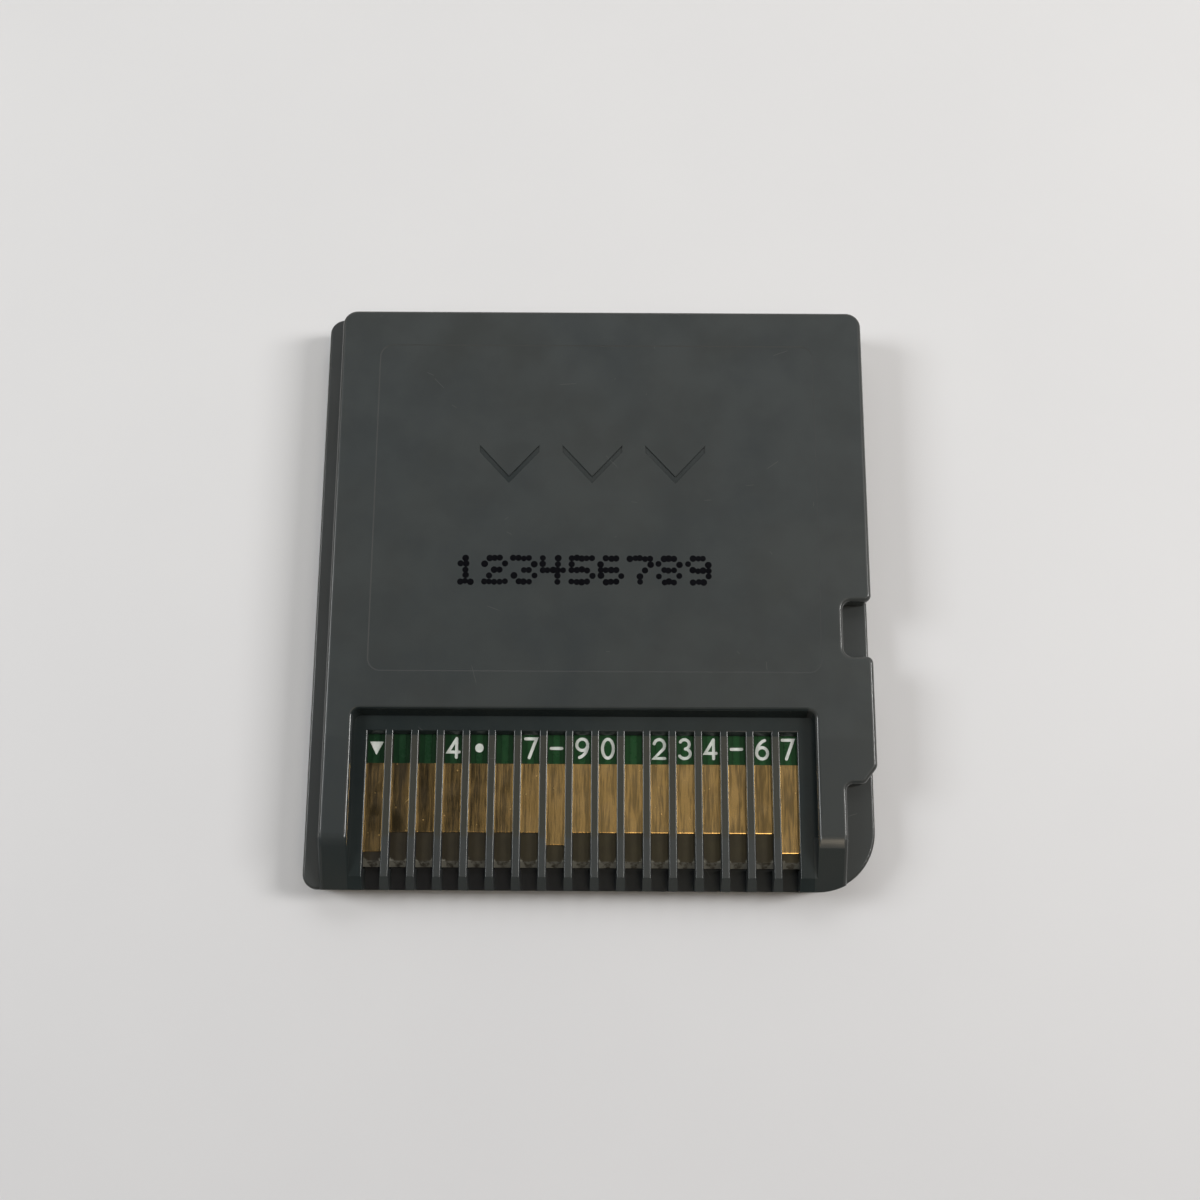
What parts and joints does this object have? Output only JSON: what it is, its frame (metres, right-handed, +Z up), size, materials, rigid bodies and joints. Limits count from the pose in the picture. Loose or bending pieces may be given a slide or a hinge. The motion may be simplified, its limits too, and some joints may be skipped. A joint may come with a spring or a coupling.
{
  "type": "game cartridge",
  "caption": "Thin moulded game card with a recessed row of gold edge contacts between guide ribs, a latch notch and a keyed corner.",
  "frame": {"origin": "middle of the card's footprint on the surface that it lies on, label side down", "axes": "+X across the card towards the keyed side with the latch notch, +Y from the contact edge to the far edge, +Z up through the contact side"},
  "size_m": [0.033, 0.035, 0.0038],
  "materials": {
    "shell": "fine satin moulded texture, dark grey",
    "label": "plain coated sticker",
    "board": "green solder mask",
    "gold_contact": "gold plate with lengthwise wipe marks",
    "chip_package": "moulded black epoxy",
    "tinned_lead": "bright tin plate",
    "capacitor_ceramic": "fired ceramic"
  },
  "bodies": {
    "root": {"rear_shell": "shell", "front_shell": "shell", "label": "label", "circuit_board": "board", "memory_chip": "chip_package", "save_chip": "chip_package", "memory_chip_leads": "tinned_lead", "save_chip_leads": "tinned_lead", "capacitor_1": "capacitor_ceramic", "capacitor_2": "capacitor_ceramic", "capacitor_3": "capacitor_ceramic", "resistor_1": "chip_package", "contact_01": "gold_contact", "contact_02": "gold_contact", "contact_03": "gold_contact", "contact_04": "gold_contact", "contact_05": "gold_contact", "contact_06": "gold_contact", "contact_07": "gold_contact", "contact_08": "gold_contact", "contact_09": "gold_contact", "contact_10": "gold_contact", "contact_11": "gold_contact", "contact_12": "gold_contact", "contact_13": "gold_contact", "contact_14": "gold_contact", "contact_15": "gold_contact", "contact_16": "gold_contact", "contact_17": "gold_contact"}
  },
  "joints": []
}
